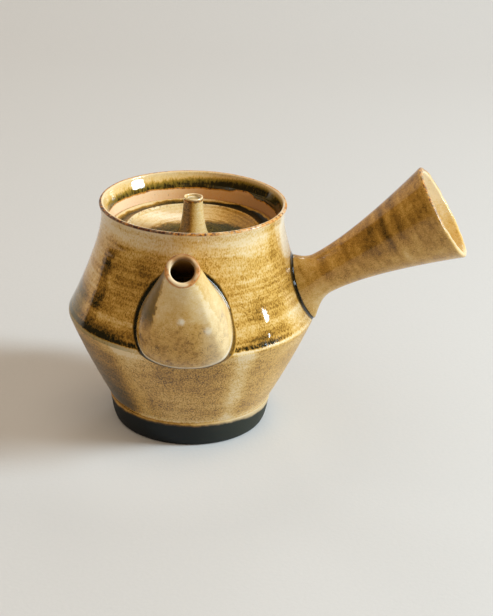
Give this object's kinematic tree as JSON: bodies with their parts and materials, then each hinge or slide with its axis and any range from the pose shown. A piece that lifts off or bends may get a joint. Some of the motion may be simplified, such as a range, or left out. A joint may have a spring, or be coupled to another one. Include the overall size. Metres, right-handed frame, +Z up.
{
  "type": "kyusu teapot",
  "caption": "Side-handled ceramic teapot with an angular shoulder, flared rim, sunken lift-off lid with a tall dished knob, short upright spout, pierced strainer and hollow trumpet handle.",
  "frame": {"origin": "centre of the foot's flat underside, on the table", "axes": "+Z up along the pot's turning axis; -Y is the way the spout points; +X is the side of the handle, which leans 31.7 degrees up and 2.3 degrees towards -Y"},
  "size_m": [0.1597, 0.1144, 0.1114],
  "materials": {
    "amber_glaze": "glossy translucent amber-olive ash glaze over buff clay, banded by throwing lines, dark where it pools",
    "handle_glaze": "glossy brown-olive ash glaze with fine speckle and faint turning rings",
    "lid_glaze": "glossy cream-ochre glaze, dark olive where it pools in the channel and round the knob",
    "strainer_glaze": "thin amber glaze over buff clay",
    "bare_clay": "unglazed pinkish buff stoneware with a few iron specks, matt",
    "dark_clay": "matt charcoal clay band and underside"
  },
  "bodies": {
    "pot": {"pot_body": "amber_glaze", "foot": "dark_clay", "lid_seat": "bare_clay", "strainer": "strainer_glaze", "spout": "amber_glaze", "handle": "handle_glaze"},
    "lid": {"lid_plate": "lid_glaze", "lid_flange": "bare_clay", "lid_knob": "lid_glaze"}
  },
  "joints": [
    {"name": "lid_lift", "type": "slide", "parent": "pot", "child": "lid", "axis": [0, 0, 1], "range_m": [0, 0.03]}
  ]
}
